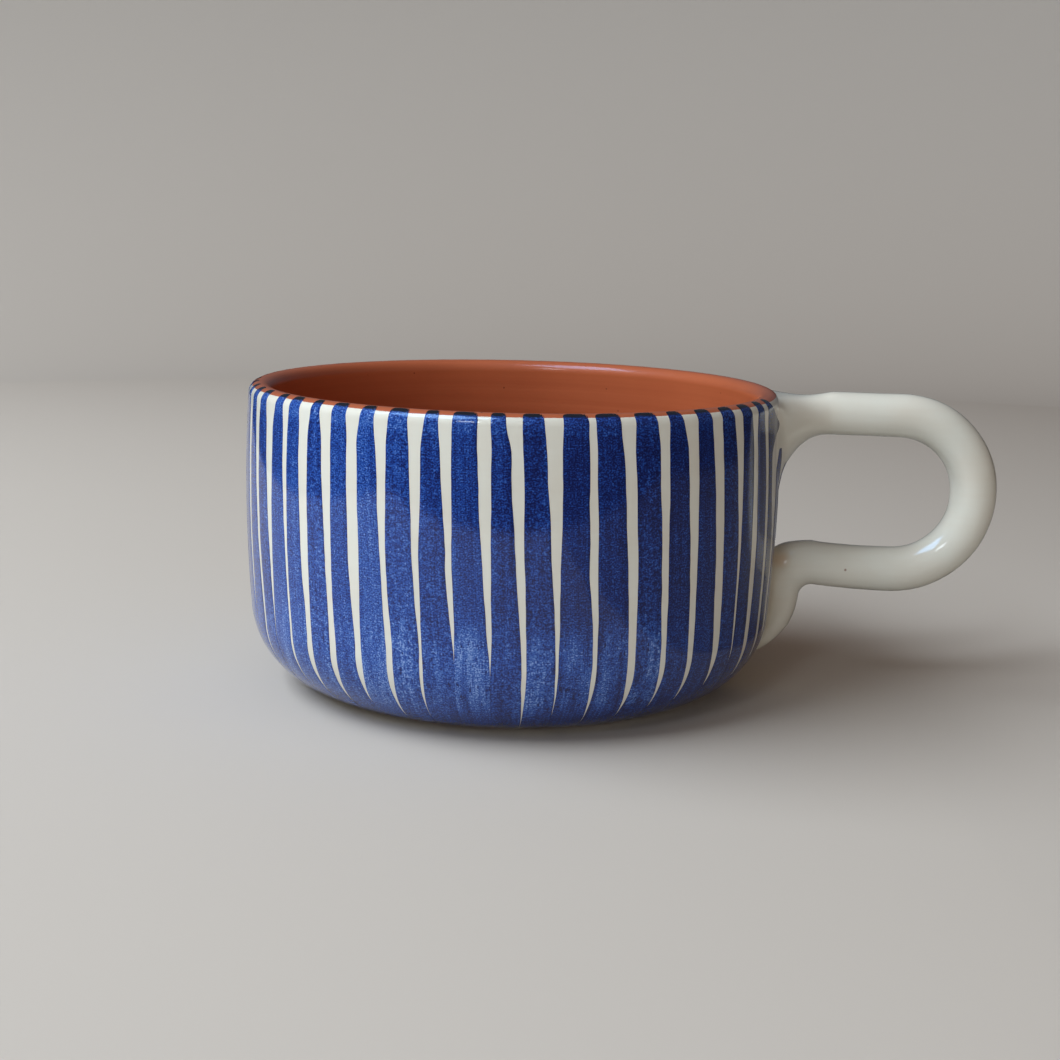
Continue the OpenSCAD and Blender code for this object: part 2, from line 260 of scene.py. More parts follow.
class HandleShape:
    """The handle's rings: flared root, top run, bow, lower run, bend and tail."""
    # Rod thickness as a share of its radius: at the root, at the far end of the bow and at the bend
    ROD_SHARES = (0.95, 1.03, 0.99)
    # Tail outline: share of its length, share of its stand-off, share of its spread
    TAIL_SHARES = ((0, 1, 0), (0.25, 0.95, 0.6), (0.5, 0.86, 1), (0.7, 0.72, 0.9), (0.86, 0.55, 0.6),
                   (1, 0.3, -0.5))
    # How steeply the root deepens and widens towards the wall
    FLARE_POWER = 2.5
    SIDE_POWER = 1.8
    # How steeply its rings crowd towards the wall
    CROWD_POWER = 1.8
    # How deep its first ring lies in the wall
    ROOT_SUNK = 1 * MM
    # Rings of the straight top run and of the lower run
    RUN_RINGS = 10
    # How much squarer than an oval the upper near quarter of the root is at the rim
    ROOT_SQUARE = 2
    # Squareness of the outer edge of the bend: 2 is round
    BEND_POWER = 2.8
    # Halvings in the search for the flare's surface
    HALVINGS = 24

    def __init__(self, handle, section):
        self.size = handle
        self.section = section
        bowl = section.bowl
        self.body_r = bowl.body_r
        self.bow_r = handle.drop / 2
        self.loop_x = bowl.body_r + handle.reach - self.bow_r
        self.top_z = bowl.body_h - handle.below_rim - handle.rod_r
        self.low_z = self.top_z - handle.drop
        self.over_z = self.low_z + handle.low_rise + handle.rod_r
        bend_z = self.over_z - 2 * handle.rod_r - handle.bend_r
        self.pivot = (section.radius_at(bend_z) + handle.tail_stand + handle.bend_r, bend_z)
        self.sunk = bowl.wall / 2

    def rod(self, along):
        """Rod radius from 0 at the root to 1 at the bend."""
        return self.size.rod_r * float(np.interp(along, (0, 0.5, 1), self.ROD_SHARES))

    def flare(self, off):
        """Top edge, lower edge, half width and squareness of the root at a distance off the wall."""
        size = self.size
        spread = max(0, 1 - off / size.root_reach) ** self.FLARE_POWER
        feather = size.feather * max(0, 1 - max(off, 0) / size.feather_reach) ** 3
        rod = self.rod(0)
        share = min(max(off / size.root_reach, 0), 1)
        top = self.top_z + size.rod_r - size.root_dip * math.sin(math.pi * share)
        low = self.top_z + size.rod_r - 2 * rod - size.root_drop * spread - feather
        half = rod + size.root_spread * max(0, 1 - off / size.root_reach) ** self.SIDE_POWER + feather
        return top, low, half, 2 + self.ROOT_SQUARE * spread

    def over_wall(self, off, y, z):
        """How far out a point of the root is, wrapped to the wall close by and free of it further out."""
        share = min(max(1 - off / self.size.root_reach, 0), 1)
        return self.body_r + off - share * (self.body_r - self.section.wall_x(y, z))

    def inside_flare(self, off, y, z):
        top, low, half, power = self.flare(off)
        middle, tall = (top + low) / 2, (top - low) / 2
        power = power if z > middle and y < 0 else 2
        return abs(y / half) ** power + abs((z - middle) / tall) ** power < 1

    def stand_off(self, y, z):
        """How far the flare covers the wall at a point beside the handle's plane, 0 where it doesn't."""
        if not self.inside_flare(0, y, z):
            return 0.0
        near, far = 0.0, self.size.root_reach
        for _ in range(self.HALVINGS):
            middle = (near + far) / 2
            if self.inside_flare(middle, y, z):
                near = middle
            else:
                far = middle
        return near

    def ring(self, outer, inner, half, sides, power=2):
        """An oval between two points of the XZ plane. Power above 2 makes its outer near quarter squarer."""
        points = []
        for i in range(sides):
            turn = 2 * math.pi * i / sides
            out, aside = math.cos(turn), math.sin(turn)
            if out > 0 > aside:
                out, aside = out ** (2 / power), -abs(aside) ** (2 / power)
            share = (1 + out) / 2
            x = inner[0] + (outer[0] - inner[0]) * share
            z = inner[1] + (outer[1] - inner[1]) * share
            points.append((x, half * aside, z))
        return points

    def root_rings(self, sides, count):
        rings = []
        for i in range(-1, count + 1):
            off = -self.ROOT_SUNK if i < 0 else self.size.root_reach * (i / count) ** self.CROWD_POWER
            top, low, half, power = self.flare(off)
            rings.append([(self.over_wall(off, y, z), y, z)
                          for _, y, z in self.ring((0, top), (0, low), half, sides, power)])
        return rings

    def rod_rings(self, sides, count):
        """Top run, bow and lower run."""
        rings = []
        start = self.body_r + self.size.root_reach
        for i in range(1, self.RUN_RINGS):
            along = 0.2 * i / self.RUN_RINGS
            x = start + (self.loop_x - start) * i / self.RUN_RINGS
            top = self.top_z + self.size.rod_r
            rings.append(self.ring((x, top), (x, top - 2 * self.rod(along)), self.rod(along), sides))
        centre = (self.loop_x, self.top_z - self.bow_r)
        for i in range(count + 1):
            turn = math.pi / 2 - math.pi * i / count
            rod = self.rod(0.2 + 0.6 * i / count)
            outer = polar(centre, self.bow_r + self.size.rod_r, turn)
            inner = polar(centre, self.bow_r + self.size.rod_r - 2 * rod, turn)
            rings.append(self.ring(outer, inner, rod, sides))
        for i in range(1, self.RUN_RINGS):
            share = i / self.RUN_RINGS
            rod = self.rod(0.8 + 0.2 * share)
            x = self.loop_x + (self.pivot[0] - self.loop_x) * share
            under = self.low_z - self.size.rod_r + self.size.low_rise * share * share
            rings.append(self.ring((x, under), (x, under + 2 * rod), rod, sides))
        return rings

    def tail_rings(self, sides, count):
        """Bend about the pivot, then the tail pressed down the wall."""
        rings = []
        size = self.size
        for i in range(count + 1):
            turn = math.pi / 2 * (1 + i / count)
            thick = 2 * size.rod_r + (size.tail_stand + self.sunk - 2 * size.rod_r) * i / count
            inner = polar(self.pivot, size.bend_r, turn)
            square = 2 / self.BEND_POWER
            reach = size.bend_r + thick
            outer = (self.pivot[0] - reach * abs(math.cos(turn)) ** square,
                     self.pivot[1] + reach * abs(math.sin(turn)) ** square)
            rings.append(self.ring(inner, outer, size.rod_r, sides))
        rows = np.array(self.TAIL_SHARES)
        for i in range(1, count + 1):
            share = i / count
            stand = size.tail_stand * float(np.interp(share, rows[:, 0], rows[:, 1]))
            half = size.rod_r + size.tail_spread * float(np.interp(share, rows[:, 0], rows[:, 2]))
            z = self.pivot[1] - size.tail_drop * share
            r = self.section.radius_at(z)
            rings.append(self.ring((r + stand, z), (r - self.sunk, z), half, sides))
        return rings


def skin(name, rings, crease, joined=False):
    """A closed mesh over rings of points, with a cap at each end or the last ring joined to the first."""
    count = len(rings[0])
    steps = [(k, k + 1) for k in range(len(rings) - 1)]
    if joined:
        steps.append((len(rings) - 1, 0))
    faces = [(a * count + i, a * count + (i + 1) % count, b * count + (i + 1) % count, b * count + i)
             for a, b in steps for i in range(count)]
    if not joined:
        last = (len(rings) - 1) * count
        faces.append(tuple(range(count - 1, -1, -1)))
        faces.append(tuple(range(last, last + count)))
    mesh = bpy.data.meshes.new(name)
    mesh.from_pydata([p for ring in rings for p in ring], [], faces)
    work = bmesh.new()
    work.from_mesh(mesh)
    bmesh.ops.recalc_face_normals(work, faces=work.faces)
    work.to_mesh(mesh)
    work.free()
    mesh.shade_smooth()
    mesh.set_sharp_from_angle(angle=math.radians(crease))
    return mesh


def add_piece(name, mesh, materials, node):
    """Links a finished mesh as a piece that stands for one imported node."""
    piece = bpy.data.objects.new(name, mesh)
    bpy.context.scene.collection.objects.link(piece)
    for material in materials:
        mesh.materials.append(material)
    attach(piece, BODY)
    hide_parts(node)
    return piece


def mark(mesh, name, values):
    """Stores one number per point, for a material to read."""
    layer = mesh.attributes.new(name, "FLOAT", "POINT")
    layer.data.foreach_set("value", np.asarray(values, np.float32))


def new_material(name):
    material = bpy.data.materials.new(name)
    material.use_nodes = True
    material.node_tree.nodes.clear()
    return material, material.node_tree


def add_node(tree, kind, links=None, stops=None, **settings):
    """Adds one shader node. Links fill its sockets with a value or another node's output."""
    node = tree.nodes.new("ShaderNode" + kind)
    for name, value in settings.items():
        setattr(node, name, value)
    for socket, value in (links or {}).items():
        if isinstance(value, bpy.types.NodeSocket):
            tree.links.new(value, node.inputs[socket])
        else:
            node.inputs[socket].default_value = value
    if stops:
        ramp = node.color_ramp.elements
        while len(ramp) < len(stops):
            ramp.new(1)
        for element, (position, value) in zip(ramp, stops):
            element.position = position
            element.color = value
    return node


# Sockets of the Mix node when it mixes colours
MIX_A, MIX_B, MIX_OUT = 6, 7, 2
# Clear earthenware glaze: a glass of this index, fired glossy with a faint ripple
GLAZE_IOR = 1.5


def under_glaze(tree, tint, normal, roughness, sheen, coat, coat_roughness):
    """Finishes a material as a body of this tint under a coat of clear glaze."""
    shader = add_node(tree, "BsdfPrincipled", {
        "Base Color": tint, "Roughness": roughness, "IOR": GLAZE_IOR, "Normal": normal,
        "Specular IOR Level": sheen, "Coat Weight": coat, "Coat Roughness": coat_roughness,
        "Coat IOR": GLAZE_IOR, "Coat Normal": normal})
    add_node(tree, "OutputMaterial", {"Surface": shader.outputs[0]})


def add_scaled(tree, value, factor, onto):
    """Output of value times factor plus onto."""
    return add_node(tree, "Math", {0: value, 1: factor, 2: onto}, operation="MULTIPLY_ADD").outputs[0]


def even_noise(tree, place, millimetres, detail):
    """Output of noise of one size in every direction."""
    return add_node(tree, "TexNoise", {"Vector": place, "Scale": 1 / (millimetres * MM),
                                       "Detail": detail}).outputs[0]


def drawn_noise(tree, place, scale, detail, roughness=0.5):
    """Output of noise with a scale of its own along each axis."""
    drawn = add_node(tree, "Mapping", {"Vector": place, "Scale": scale}).outputs[0]
    return add_node(tree, "TexNoise", {"Vector": drawn, "Scale": 1, "Detail": detail,
                                       "Roughness": roughness}).outputs[0]


def bumpy(tree, height, strength, millimetres):
    """Output of a normal raised by height, which is this many millimetres deep."""
    return add_node(tree, "Bump", {"Strength": strength, "Distance": millimetres * MM,
                                   "Height": height}).outputs[0]


def mix_tints(tree, share, first, second, blend="MIX"):
    """Output of two tints blended by share."""
    mixed = add_node(tree, "Mix", {0: share, MIX_A: first, MIX_B: second}, data_type="RGBA", blend_type=blend)
    return mixed.outputs[MIX_OUT]


def glazed_red_earthenware(bowl):
    """Red earthenware, thrown and clear-glazed: warm brick with fine level lines and small iron specks."""
    material, tree = new_material("glazed red earthenware")
    place = add_node(tree, "TexCoord").outputs["Object"]
    # Throwing lines 0.8 mm apart, nearly level, and clouds of iron 18 mm across
    lines = drawn_noise(tree, place, (12, 12, 1 / (0.8 * MM)), 3)
    clouds = even_noise(tree, place, 18, 4)
    blend = add_scaled(tree, lines, 0.55, -0.1)
    blend = add_scaled(tree, clouds, 0.55, blend)
    base = mix_tints(tree, blend, bowl.clay, bowl.clay_dark)
    # Specks 0.4 mm wide in cells of 5 mm
    cells = add_node(tree, "TexVoronoi", {"Vector": place, "Scale": 1 / (5 * MM)})
    specks = add_node(tree, "ValToRGB", {0: cells.outputs["Distance"]},
                      [(0.03, (0.45, 0.45, 0.45, 1)), (0.06, (1, 1, 1, 1))])
    base = mix_tints(tree, 1.0, base, specks.outputs[0], "MULTIPLY")
    normal = bumpy(tree, lines, 0.35, 0.04)
    under_glaze(tree, base, normal, roughness=0.5, sheen=0.15, coat=0.8, coat_roughness=0.16)
    return material


def bare_fired_clay(bowl):
    """Red earthenware left bare on the foot: dry and matt, with turning marks round the middle."""
    material, tree = new_material("bare fired red clay")
    place = add_node(tree, "TexCoord").outputs["Object"]
    # Turning marks 1.6 mm apart and grit 0.5 mm across
    rings = add_node(tree, "TexWave", {"Vector": place, "Scale": 0.314 / (1.6 * MM) / 2, "Distortion": 1.2,
                                       "Detail": 2}, wave_type="RINGS", rings_direction="Z")
    blend = add_scaled(tree, rings.outputs["Fac"], 0.35, even_noise(tree, place, 0.5, 4))
    base = mix_tints(tree, blend, bowl.biscuit, bowl.biscuit_dark)
    shader = add_node(tree, "BsdfPrincipled", {"Base Color": base, "Roughness": 0.88,
                                               "Normal": bumpy(tree, blend, 0.6, 0.12)})
    add_node(tree, "OutputMaterial", {"Surface": shader.outputs[0]})
    return material


def cream_slip_under_glaze(slip, specks):
    """Cream slip under clear gloss glaze: soft white, warm where thin, with faint wiping marks and specks."""
    material, tree = new_material("cream slip under clear glaze")
    place = add_node(tree, "TexCoord").outputs["Object"]
    # Thin patches 14 mm across, and wiping marks 1 mm apart and nearly level
    patches = even_noise(tree, place, 14, 5)
    marks = drawn_noise(tree, place, (40, 40, 1 / MM), 3)
    warm = add_node(tree, "Attribute", attribute_name="thin_slip")
    blend = add_scaled(tree, patches, 0.7, -0.3)
    blend = add_scaled(tree, marks, 0.2, blend)
    blend = add_node(tree, "Math", {0: blend, 1: warm.outputs["Fac"]}, operation="ADD", use_clamp=True)
    base = mix_tints(tree, blend.outputs[0], slip.cream, slip.cream_thin)
    # Iron specks: each a small dark dot at its own place, with its radius in millimetres
    for spot, radius in specks:
        far = add_node(tree, "VectorMath", {0: place, 1: spot}, operation="DISTANCE")
        dot = add_node(tree, "MapRange", {0: far.outputs["Value"], 1: 0.5 * radius * MM, 2: 1.4 * radius * MM,
                                          3: 0.8, 4: 0.0})
        base = mix_tints(tree, dot.outputs[0], base, slip.speck)
    ripple = even_noise(tree, place, 7, 1)
    normal = bumpy(tree, ripple, 0.3, 0.08)
    under_glaze(tree, base, normal, roughness=0.45, sheen=0.1, coat=1.0, coat_roughness=0.06)
    return material


# Grain of the brushwork: millimetres across and along the stroke, weight in the coat's thickness, and detail.
# Bristle lines, broad bands of the brush, fine crosswise ripples, a close weave of both and soft mottling.
BRUSH_GRAIN = ((0.35, 20, 0.4, 2), (1.6, 40, 0.25, 1), (1.4, 0.35, 0.45, 1), (0.36, 0.32, 0.9, 0),
               (2, 3, 0.15, 3))
# What each point of a stroke tells the cobalt: place across and along in millimetres, and how it was brushed,
# with painted shade and painted reflections in its load
STROKE_MARKS = ("across", "along", "lane", "load", "wash", "bare")


def cobalt_under_glaze(paint):
    """Cobalt brushed on slip under clear glaze: deep where it pooled, washed thin where the brush ran dry,
    with painted shade and painted reflections in its load.
    """
    material, tree = new_material("cobalt brushwork under clear glaze")
    marks = {name: add_node(tree, "Attribute", attribute_name=name).outputs["Fac"]
             for name in STROKE_MARKS}
    where = add_node(tree, "CombineXYZ", {0: marks["across"], 1: marks["along"], 2: marks["lane"]}).outputs[0]
    coat = add_node(tree, "Math", {0: marks["load"], 1: -0.5 * sum(g[2] for g in BRUSH_GRAIN)}).outputs[0]
    for across, along, weight, detail in BRUSH_GRAIN:
        grain = drawn_noise(tree, where, (1 / across, 1 / along, 1), detail)
        coat = add_scaled(tree, grain, weight, coat)
    # Streaky patches 2.4 by 14 mm where the coat is washed out, and dark flecks 0.9 by 2.4 mm left in them
    patch = drawn_noise(tree, where, (1 / 2.4, 1 / 14, 1), 4, 0.6)
    patch = add_node(tree, "MapRange", {0: patch, 1: 0.32, 2: 0.58, 3: 0.0, 4: -0.36})
    coat = add_scaled(tree, patch.outputs[0], marks["wash"], coat)
    fleck = drawn_noise(tree, where, (1 / 0.9, 1 / 2.4, 1), 2)
    fleck = add_node(tree, "MapRange", {0: fleck, 1: 0.62, 2: 0.68, 3: 0.0, 4: 0.45})
    coat = add_scaled(tree, fleck.outputs[0], marks["wash"], coat)
    tint = add_node(tree, "ValToRGB", {0: coat}, [
        (0.05, paint.washed), (0.25, paint.thin), (0.45, paint.plain), (0.65, paint.full),
        (0.85, paint.heavy)])
    base = mix_tints(tree, marks["bare"], tint.outputs[0], paint.on_clay)
    normal = bumpy(tree, coat, 0.12, 0.03)
    under_glaze(tree, base, normal, roughness=0.5, sheen=0.1, coat=1.0, coat_roughness=0.07)
    return material


def pale_paper(tint):
    """Pale matt paper under and behind the mug, with a faint tooth."""
    material, tree = new_material("pale matt paper")
    place = add_node(tree, "TexCoord").outputs["Object"]
    tooth = even_noise(tree, place, 1.5, 3)
    normal = bumpy(tree, tooth, 0.05, 0.1)
    shader = add_node(tree, "BsdfPrincipled", {"Base Color": tint, "Roughness": 0.7,
                                               "Specular IOR Level": 0.2, "Normal": normal})
    add_node(tree, "OutputMaterial", {"Surface": shader.outputs[0]})
    return material


def around(profile, sides, shift=None):
    """Rings of points about the bowl's axis, one for each point of a profile."""
    turns = [2 * math.pi * i / sides for i in range(sides)]
    rings = []
    for r, z in profile:
        ring = []
        for turn in turns:
            dr, dz = shift(r, z, turn) if shift else (0, 0)
            ring.append(((r + dr) * math.cos(turn), (r + dr) * math.sin(turn), z + dz))
        rings.append(ring)
    return rings


class MUG_OT_thrown_bowl(Operator):
    """Throw the red clay bowl"""
    bl_idname = "mug.thrown_bowl"
    bl_label = "Thrown bowl"

    SIDES = 256
    FLOOR_STEPS = 30
    CORNER_STEPS = 30
    WALL_STEPS = 110
    RIM_STEPS = 24
    COATED_STEPS = 10
    # Radius of the flat middle, which is closed by a cap
    HUB = 0.4 * MM
    # How many wavers below the slip's upper edge the clay's rim ends, and the clay under the slip starts
    RIM_UNDER = 1.5
    COATED_UNDER = 2
    # Height below which the clay is left bare
    BARE_BELOW = 1 * MM
    # Width and height of the foot's worn edge
    FOOT_EDGE = (0.3 * MM, 0.15 * MM)
    # Depths below the rim between which the finger marks come in, and the same as a radius on the floor
    MARKS_FADE = (2 * MM, 12 * MM)
    MARKS_FROM = 10 * MM
    # Shares of the even spiral and of its unevenness
    SPIRAL = 0.6
    UNEVEN = 1.2

    def execute(self, context):
        bowl, slip = context.scene.mug_bowl, context.scene.mug_slip
        section = BowlSection(bowl)
        floor_r = section.inner_c[0]
        inside = [(self.HUB + (floor_r - self.HUB) * i / self.FLOOR_STEPS, bowl.floor_t)
                  for i in range(self.FLOOR_STEPS)]
        inside += arc(section.inner_c, bowl.inner_corner_r, -math.pi / 2, section.inner_a, self.CORNER_STEPS)
        inside += arc(section.bow_c, section.inner_r, section.inner_a, section.rim_a, self.WALL_STEPS)[1:]
        rim_end = slip.rim_a - slip.waver_a * self.RIM_UNDER
        coated_top = slip.rim_a - slip.waver_a * self.COATED_UNDER
        rim = arc(section.rim_c, section.rim_r, math.pi + section.rim_a, rim_end, self.RIM_STEPS)[1:]
        under_slip = section.outside(-slip.thick, -slip.foot_a, coated_top, self.COATED_STEPS)[::-1]
        foot = [polar(section.corner_c, bowl.corner_r, -slip.foot_a),
                (section.corner_c[0], bowl.foot_h),
                (bowl.foot_r, self.FOOT_EDGE[1]), (bowl.foot_r - self.FOOT_EDGE[0], 0), (self.HUB, 0)]
        profile = inside + rim + under_slip + foot

        def finger_marks(r, z, turn):
            """The spiral that the thrower's fingers leave, faint at the middle and gone at the rim."""
            climb = (r if z < bowl.floor_t + 0.1 * MM else floor_r + z) / bowl.ring_pitch
            wave = math.sin(2 * math.pi * climb - turn)
            uneven = noise.noise(Vector((climb * 0.9, math.cos(turn), math.sin(turn))))
            gone, full = [bowl.body_h - depth for depth in self.MARKS_FADE]
            keep = min(1, r / self.MARKS_FROM) * ease(gone, full, z)
            return keep * bowl.ring_depth * (self.SPIRAL * wave + self.UNEVEN * uneven)

        def shift(r, z, turn):
            if (r, z) not in marked:
                return 0, 0
            depth = finger_marks(r, z, turn)
            lean = marked[(r, z)]
            return -depth * math.cos(lean), -depth * math.sin(lean)

        marked = {}
        for i, (r, z) in enumerate(inside):
            if i < self.FLOOR_STEPS:
                marked[(r, z)] = -math.pi / 2
            elif z < section.inner_c[1]:
                marked[(r, z)] = math.atan2(z - section.inner_c[1], r - section.inner_c[0])
            else:
                marked[(r, z)] = 0
        mesh = skin("thrown_bowl", around(profile, self.SIDES, shift), crease=50)
        glazed, bare = glazed_red_earthenware(bowl), bare_fired_clay(bowl)
        add_piece("thrown_bowl", mesh, [glazed, bare], "clay_bowl")
        for face in mesh.polygons:
            low = all(mesh.vertices[v].co.z < self.BARE_BELOW for v in face.vertices)
            face.material_index = 1 if low else 0
        return {"FINISHED"}


class MUG_OT_slip_coat(Operator):
    """Coat the outside with cream slip"""
    bl_idname = "mug.slip_coat"
    bl_label = "Slip coat"

    SIDES = 360
    STEPS = 24
    # Waver of the lower edge, and the round of the upper edge: its angle and how far it lies below the clay
    LOW_WAVER = math.radians(2.5)
    LIP_ROUND = math.radians(3)
    LIP_BELOW = 0.02 * MM
    # Iron specks: place in metres and radius in millimetres
    SPECKS = (((0.0340, -0.0551, 0.0553), 0.32), ((-0.012, 0.0638, 0.037), 0.25),
              ((-0.051, 0.040, 0.030), 0.3))

    def execute(self, context):
        bowl, slip = context.scene.mug_bowl, context.scene.mug_slip
        section = BowlSection(bowl)
        columns = []
        for i in range(self.SIDES):
            turn = 2 * math.pi * i / self.SIDES
            top_a = section.slip_edge(slip, turn)
            low_a = -slip.foot_a + self.LOW_WAVER * waver(6 * math.cos(turn), 3 + math.sin(turn))
            outer = section.outside(0, low_a, top_a - self.LIP_ROUND, self.STEPS)
            lip = [polar(section.rim_c, section.rim_r - self.LIP_BELOW, top_a)]
            inner = section.outside(-slip.thick, low_a, top_a, self.STEPS)[::-1]
            columns.append([(r * math.cos(turn), r * math.sin(turn), z) for r, z in outer + lip + inner])
        mesh = skin("slip_coat", columns, joined=True, crease=45)
        add_piece("slip_coat", mesh, [cream_slip_under_glaze(slip, self.SPECKS)], "cream_slip")
        return {"FINISHED"}


class MUG_OT_pulled_handle(Operator):
    """Pull the loop handle and press it on"""
    bl_idname = "mug.pulled_handle"
    bl_label = "Pulled handle"

    SIDES = 80
    ROOT_STEPS = 26
    BOW_STEPS = 56
    TAIL_STEPS = 16
    # Iron specks: place in metres and radius in millimetres
    SPECKS = (((0.0826, -0.0054, 0.0296), 0.3), ((0.104, 0.0052, 0.064), 0.25))
    # Where the slip was wiped thin, in the notch above the tail
    NOTCH = (0.0668, -0.004, 0.0315)
    NOTCH_FADE = (3.2 * MM, 0.5 * MM)
    NOTCH_THIN = 0.9
    # Swellings left by the pulling hand: share of the rod's radius, and size
    LUMPS = ((0.022, 17 * MM), (0.008, 5 * MM))

    def execute(self, context):
        section = BowlSection(context.scene.mug_bowl)
        shape = HandleShape(context.scene.mug_handle, section)
        rings = (shape.root_rings(self.SIDES, self.ROOT_STEPS) + shape.rod_rings(self.SIDES, self.BOW_STEPS)
                 + shape.tail_rings(self.SIDES, self.TAIL_STEPS))
        rings = [self.lumpy(ring) for ring in rings]
        mesh = skin("pulled_handle", rings, crease=60)
        points = np.array([v.co for v in mesh.vertices])
        notch = np.linalg.norm(points - np.array(self.NOTCH), axis=1)
        mark(mesh, "thin_slip", self.NOTCH_THIN * ease(*self.NOTCH_FADE, notch))
        slip = cream_slip_under_glaze(context.scene.mug_slip, self.SPECKS)
        add_piece("pulled_handle", mesh, [slip], "handle")
        return {"FINISHED"}

    def lumpy(self, ring):
        """Small swellings left by the pulling hand."""
        middle = sum((Vector(p) for p in ring), Vector()) / len(ring)
        points = []
        for p in ring:
            p = Vector(p)
            swell = sum(share * noise.noise(p / size) for share, size in self.LUMPS)
            points.append(tuple(p + (p - middle) * swell))
        return points


# What the hand did on the near strokes, left to right, with the painted reflection edge on each
NEAR_STROKES = {
    # Height in millimetres down to which each stroke is a little darker: a painted reflection edge, where the
    # mirrored floor stops
    "mirror_edge": (57, 57, 58, 57, 56, 57, 57, 55, 50, 56, 46, 46, 53, 52, 55, 50, 48, 52, 50, 54, 50, 52),
    # How far the brush ran dry low down, from 0 to 1
    "dry": (0.3, 0.2, 0.3, 0.4, 0.3, 0.4, 0.4, 0.5, 0.6, 0.5, 1, 0.3, 0.8, 0.8, 0.8, 1, 0.5, 0.3, 0.2, 0.4,
            0.3, 0.3),
    # How much thinner or thicker the coat is
    "shift": (0, 0, 0.02, 0, 0, 0.02, 0.03, -0.04, 0.02, 0.02, -0.04, -0.02, 0, 0.02, 0.03, 0.02, 0.06, 0.06,
              0.02, 0.08, 0.06, 0.14),
    # Height in millimetres at which the gap to the right closes at the foot
    "closes": (14, 2, 10, 3, 2, 2, 3, 1, 3, 14, 10, 1, 5, 3, 1, 4, 4, 6, 8, 5, 3, 3),
    # Millimetres by which the left and the right edge draw in on the rim
    "draw_left": (0.5, 0.5, 0.5, 0.8, 0.4, 0.7, 0, 0.7, 0.3, 0.5, 0, -0.4, -0.2, 0, -0.3, 0.2, 0, -0.2, -0.3,
                  -0.4, 0.6, 0.3),
    "draw_right": (0.5, 0.5, 0.5, 0.4, 0.2, 0.8, 0.4, 0.6, 0.5, 0.5, -0.2, 1.2, 0.4, 0.1, 0.7, 0.5, 1.2, 0.4,
                   0.7, 0.5, 0.5, 0),
}
# The stroke beside the handle, which swells into a leaf on the flare
LEAF_STROKE = 21
# Its swelling there and its slimming from mid height up, in degrees, with their heights in millimetres
LEAF_SWELL, LEAF_MIDDLE, LEAF_TALL = 7, 67, 3.8
LEAF_SLIM, LEAF_SLIM_FADE = 1.5, (40, 52)


